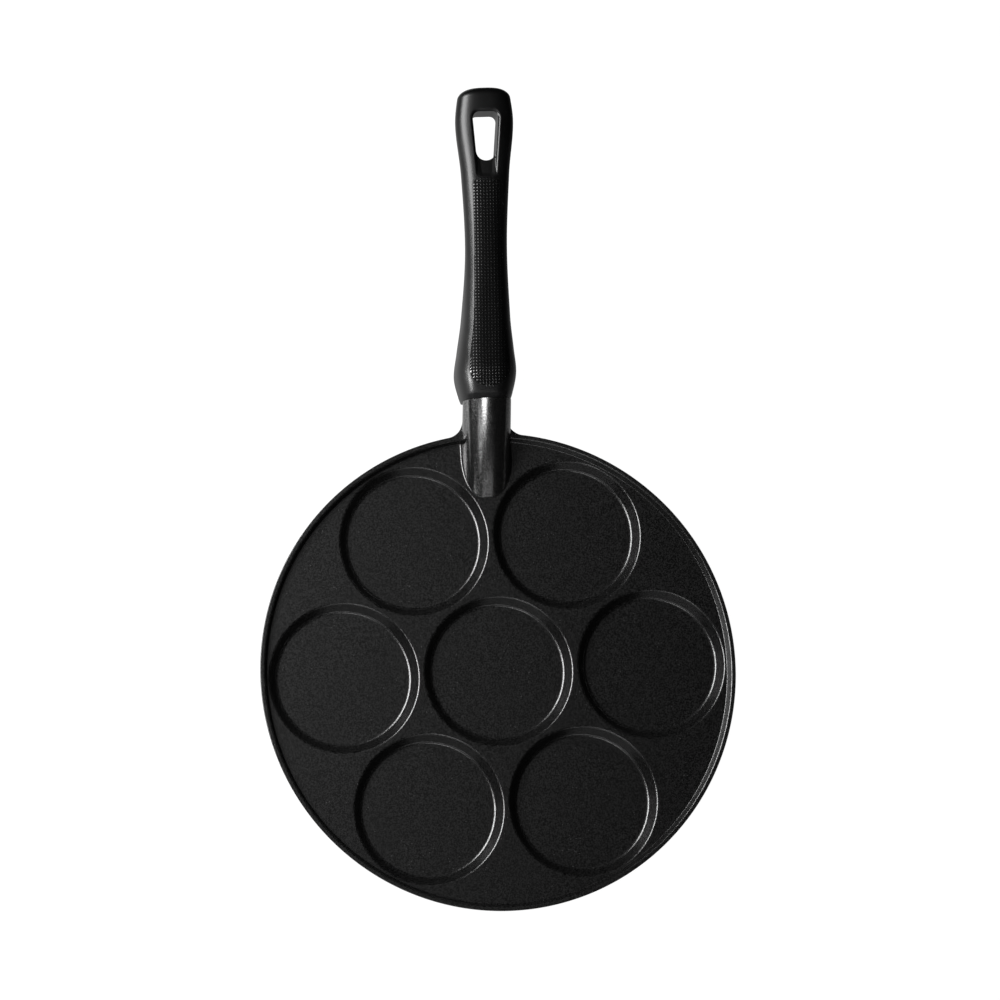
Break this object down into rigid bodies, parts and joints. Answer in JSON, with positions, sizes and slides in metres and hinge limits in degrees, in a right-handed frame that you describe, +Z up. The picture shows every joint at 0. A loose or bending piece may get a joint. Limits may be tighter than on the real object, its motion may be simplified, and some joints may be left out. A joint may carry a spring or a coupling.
{
  "type": "plett pan",
  "caption": "Flat round cast pan with shallow round wells for small pancakes, a low rim and a long black handle with a hanging hole.",
  "frame": {"origin": "centre of the middle well's underside, on the surface that the pan stands on", "axes": "+Z up out of the wells, +Y from the pan towards the handle's hanging end, +X to the right seen from above with the handle pointing away"},
  "size_m": [0.262, 0.4384, 0.0921],
  "materials": {
    "coated_aluminium": "satin",
    "black_phenolic": "satin",
    "zinc_steel": "satin",
    "washer_steel": "satin",
    "spring_steel": "satin"
  },
  "bodies": {
    "root": {"pan_casting": "coated_aluminium", "handle_grip": "black_phenolic", "handle_screw": "zinc_steel", "flat_washer": "washer_steel", "spring_washer": "spring_steel"}
  },
  "joints": []
}
